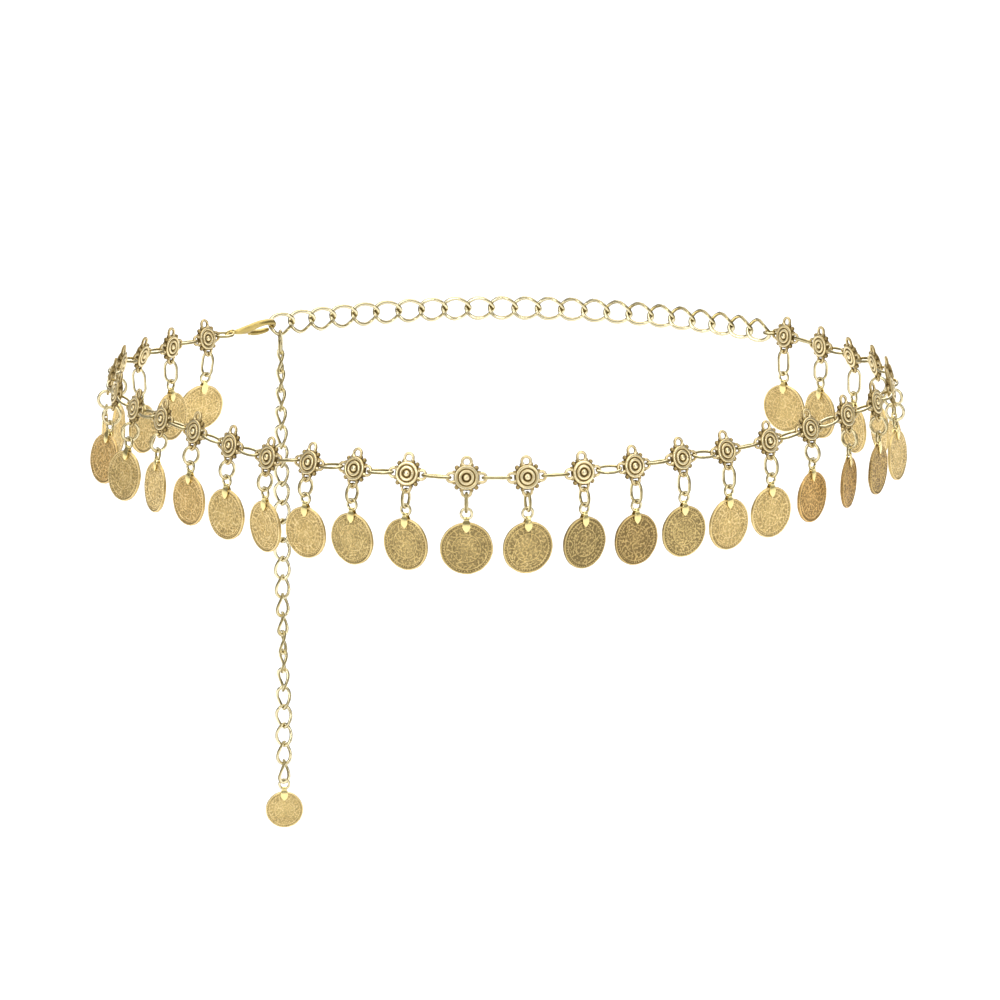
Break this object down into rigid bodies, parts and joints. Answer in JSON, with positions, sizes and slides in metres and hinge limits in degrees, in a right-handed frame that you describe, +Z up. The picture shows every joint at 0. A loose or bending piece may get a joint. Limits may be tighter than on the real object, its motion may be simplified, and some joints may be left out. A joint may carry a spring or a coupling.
{
  "type": "coin belt",
  "caption": "Gold-tone metal belt worn low on the hips: a loop of linked domed rosettes with a coin hanging under each, closed behind by a chain and a clasp.",
  "frame": {"origin": "middle of the waist opening at the height of the rosettes' centres", "axes": "+Z up, -Y towards the wearer's front, +X towards the right of someone who faces the belt's front"},
  "size_m": [0.271, 0.2589, 0.1915],
  "materials": {
    "antique_gold": "cast, antique gold with a dark patina in the recesses",
    "coin_gold": "cast relief, warm antique gold with darker hollows",
    "ring_gold": "satin pale gold wire",
    "pale_gold": "polished pale gold chain",
    "bright_gold": "polished bright gold casting"
  },
  "bodies": {
    "root": {"rosettes_01": "antique_gold", "connector_01": "ring_gold", "rosettes_02": "antique_gold", "connector_02": "ring_gold", "rosettes_03": "antique_gold", "connector_03": "ring_gold", "rosettes_04": "antique_gold", "connector_04": "ring_gold", "rosettes_05": "antique_gold", "connector_05": "ring_gold", "rosettes_06": "antique_gold", "connector_06": "ring_gold", "rosettes_07": "antique_gold", "connector_07": "ring_gold", "rosettes_08": "antique_gold", "connector_08": "ring_gold", "rosettes_09": "antique_gold", "connector_09": "ring_gold", "rosettes_10": "antique_gold", "end_ring_right": "ring_gold", "back_chain": "pale_gold", "clasp": "bright_gold", "clasp_lever": "bright_gold", "end_ring_left": "ring_gold"},
    "drop_01": {"drop_01": "coin_gold"},
    "drop_02": {"drop_02": "coin_gold"},
    "drop_03": {"drop_03": "coin_gold"},
    "drop_04": {"drop_04": "coin_gold"},
    "drop_05": {"drop_05": "coin_gold"},
    "drop_06": {"drop_06": "coin_gold"},
    "drop_07": {"drop_07": "coin_gold"},
    "drop_08": {"drop_08": "coin_gold"},
    "drop_09": {"drop_09": "coin_gold"},
    "drop_10": {"drop_10": "coin_gold"},
    "drop_11": {"drop_11": "coin_gold"},
    "drop_12": {"drop_12": "coin_gold"},
    "drop_13": {"drop_13": "coin_gold"},
    "drop_14": {"drop_14": "coin_gold"},
    "drop_15": {"drop_15": "coin_gold"},
    "drop_16": {"drop_16": "coin_gold"},
    "drop_17": {"drop_17": "coin_gold"},
    "drop_18": {"drop_18": "coin_gold"},
    "drop_19": {"drop_19": "coin_gold"},
    "drop_20": {"drop_20": "coin_gold"},
    "drop_21": {"drop_21": "coin_gold"},
    "drop_22": {"drop_22": "coin_gold"},
    "drop_23": {"drop_23": "coin_gold"},
    "drop_24": {"drop_24": "coin_gold"},
    "drop_25": {"drop_25": "coin_gold"},
    "drop_26": {"drop_26": "coin_gold"},
    "drop_27": {"drop_27": "coin_gold"},
    "drop_28": {"drop_28": "coin_gold"},
    "drop_29": {"drop_29": "coin_gold"},
    "drop_30": {"drop_30": "coin_gold"},
    "tail": {"tail_chain": "pale_gold", "tail_coin": "coin_gold"}
  },
  "joints": [
    {"name": "tail_swing", "type": "hinge", "parent": "root", "child": "tail", "pos_m": [-0.07536, 0.11113, -0.00363], "axis": [0.8084, 0.5886, 0], "range_deg": [-20, 45]},
    {"name": "drop_01_swing", "type": "hinge", "parent": "root", "child": "drop_01", "pos_m": [-0.09918, 0.08779, -0.00581], "axis": [0.6521, 0.7581, 0], "range_deg": [-27, 23]},
    {"name": "drop_02_swing", "type": "hinge", "parent": "root", "child": "drop_02", "pos_m": [-0.1115, 0.07336, -0.0054], "axis": [0.5411, 0.841, 0], "range_deg": [-15, 45]},
    {"name": "drop_03_swing", "type": "hinge", "parent": "root", "child": "drop_03", "pos_m": [-0.12155, 0.05708, -0.00465], "axis": [0.4017, 0.9158, 0], "range_deg": [-11, 49]},
    {"name": "drop_04_swing", "type": "hinge", "parent": "root", "child": "drop_04", "pos_m": [-0.1275, 0.03881, -0.00357], "axis": [0.2174, 0.9761, 0], "range_deg": [-15, 45]},
    {"name": "drop_05_swing", "type": "hinge", "parent": "root", "child": "drop_05", "pos_m": [-0.12967, 0.01966, -0.00372], "axis": [-0.0206, 0.9998, 0], "range_deg": [-21, 39]},
    {"name": "drop_06_swing", "type": "hinge", "parent": "root", "child": "drop_06", "pos_m": [-0.12689, 0.00053, -0.0047], "axis": [-0.2723, 0.9622, 0], "range_deg": [-25, 35]},
    {"name": "drop_07_swing", "type": "hinge", "parent": "root", "child": "drop_07", "pos_m": [-0.11977, -0.01739, -0.00597], "axis": [-0.4591, 0.8884, 0], "range_deg": [-24, 36]},
    {"name": "drop_08_swing", "type": "hinge", "parent": "root", "child": "drop_08", "pos_m": [-0.10969, -0.0337, -0.00572], "axis": [-0.5627, 0.8267, 0], "range_deg": [-21, 39]},
    {"name": "drop_09_swing", "type": "hinge", "parent": "root", "child": "drop_09", "pos_m": [-0.09847, -0.04915, -0.0063], "axis": [-0.6154, 0.7882, 0], "range_deg": [-19, 41]},
    {"name": "drop_10_swing", "type": "hinge", "parent": "root", "child": "drop_10", "pos_m": [-0.08633, -0.06385, -0.00742], "axis": [-0.6487, 0.761, 0], "range_deg": [-17, 43]},
    {"name": "drop_11_swing", "type": "hinge", "parent": "root", "child": "drop_11", "pos_m": [-0.07372, -0.07815, -0.0079], "axis": [-0.6836, 0.7299, 0], "range_deg": [-15, 45]},
    {"name": "drop_12_swing", "type": "hinge", "parent": "root", "child": "drop_12", "pos_m": [-0.0604, -0.09187, -0.00631], "axis": [-0.7353, 0.6777, 0], "range_deg": [-15, 45]},
    {"name": "drop_13_swing", "type": "hinge", "parent": "root", "child": "drop_13", "pos_m": [-0.04547, -0.10396, -0.00534], "axis": [-0.8169, 0.5767, 0], "range_deg": [-15, 45]},
    {"name": "drop_14_swing", "type": "hinge", "parent": "root", "child": "drop_14", "pos_m": [-0.02851, -0.11323, -0.0047], "axis": [-0.9263, 0.3767, 0], "range_deg": [-15, 45]},
    {"name": "drop_15_swing", "type": "hinge", "parent": "root", "child": "drop_15", "pos_m": [-0.00956, -0.11734, -0.00505], "axis": [-0.9988, 0.0493, 0], "range_deg": [-15, 45]},
    {"name": "drop_16_swing", "type": "hinge", "parent": "root", "child": "drop_16", "pos_m": [0.00953, -0.11462, -0.00543], "axis": [-0.962, -0.273, 0], "range_deg": [-15, 45]},
    {"name": "drop_17_swing", "type": "hinge", "parent": "root", "child": "drop_17", "pos_m": [0.02734, -0.10747, -0.00569], "axis": [-0.8829, -0.4696, 0], "range_deg": [-15, 45]},
    {"name": "drop_18_swing", "type": "hinge", "parent": "root", "child": "drop_18", "pos_m": [0.04376, -0.09765, -0.00602], "axis": [-0.8204, -0.5717, 0], "range_deg": [-15, 45]},
    {"name": "drop_19_swing", "type": "hinge", "parent": "root", "child": "drop_19", "pos_m": [0.05914, -0.08633, -0.00607], "axis": [-0.7805, -0.6251, 0], "range_deg": [-15, 45]},
    {"name": "drop_20_swing", "type": "hinge", "parent": "root", "child": "drop_20", "pos_m": [0.07383, -0.07417, -0.00674], "axis": [-0.7553, -0.6554, 0], "range_deg": [-15, 45]},
    {"name": "drop_21_swing", "type": "hinge", "parent": "root", "child": "drop_21", "pos_m": [0.08782, -0.06124, -0.00662], "axis": [-0.7339, -0.6793, 0], "range_deg": [-15, 45]},
    {"name": "drop_22_swing", "type": "hinge", "parent": "root", "child": "drop_22", "pos_m": [0.10167, -0.04813, -0.00567], "axis": [-0.6999, -0.7142, 0], "range_deg": [-15, 45]},
    {"name": "drop_23_swing", "type": "hinge", "parent": "root", "child": "drop_23", "pos_m": [0.1143, -0.03373, -0.00442], "axis": [-0.6232, -0.7821, 0], "range_deg": [-15, 45]},
    {"name": "drop_24_swing", "type": "hinge", "parent": "root", "child": "drop_24", "pos_m": [0.12479, -0.0176, -0.00395], "axis": [-0.4544, -0.8908, 0], "range_deg": [-15, 45]},
    {"name": "drop_25_swing", "type": "hinge", "parent": "root", "child": "drop_25", "pos_m": [0.13117, 0.00065, -0.00352], "axis": [-0.1836, -0.983, 0], "range_deg": [-19, 41]},
    {"name": "drop_26_swing", "type": "hinge", "parent": "root", "child": "drop_26", "pos_m": [0.13182, 0.01994, -0.00327], "axis": [0.0869, -0.9962, 0], "range_deg": [-19, 41]},
    {"name": "drop_27_swing", "type": "hinge", "parent": "root", "child": "drop_27", "pos_m": [0.128, 0.03876, -0.00349], "axis": [0.2891, -0.9573, 0], "range_deg": [-18, 42]},
    {"name": "drop_28_swing", "type": "hinge", "parent": "root", "child": "drop_28", "pos_m": [0.12107, 0.05663, -0.00467], "axis": [0.4364, -0.8998, 0], "range_deg": [-15, 45]},
    {"name": "drop_29_swing", "type": "hinge", "parent": "root", "child": "drop_29", "pos_m": [0.11054, 0.07258, -0.0049], "axis": [0.5524, -0.8336, 0], "range_deg": [-15, 45]},
    {"name": "drop_30_swing", "type": "hinge", "parent": "root", "child": "drop_30", "pos_m": [0.09846, 0.08719, -0.00484], "axis": [0.6512, -0.7589, 0], "range_deg": [-17, 35]}
  ]
}
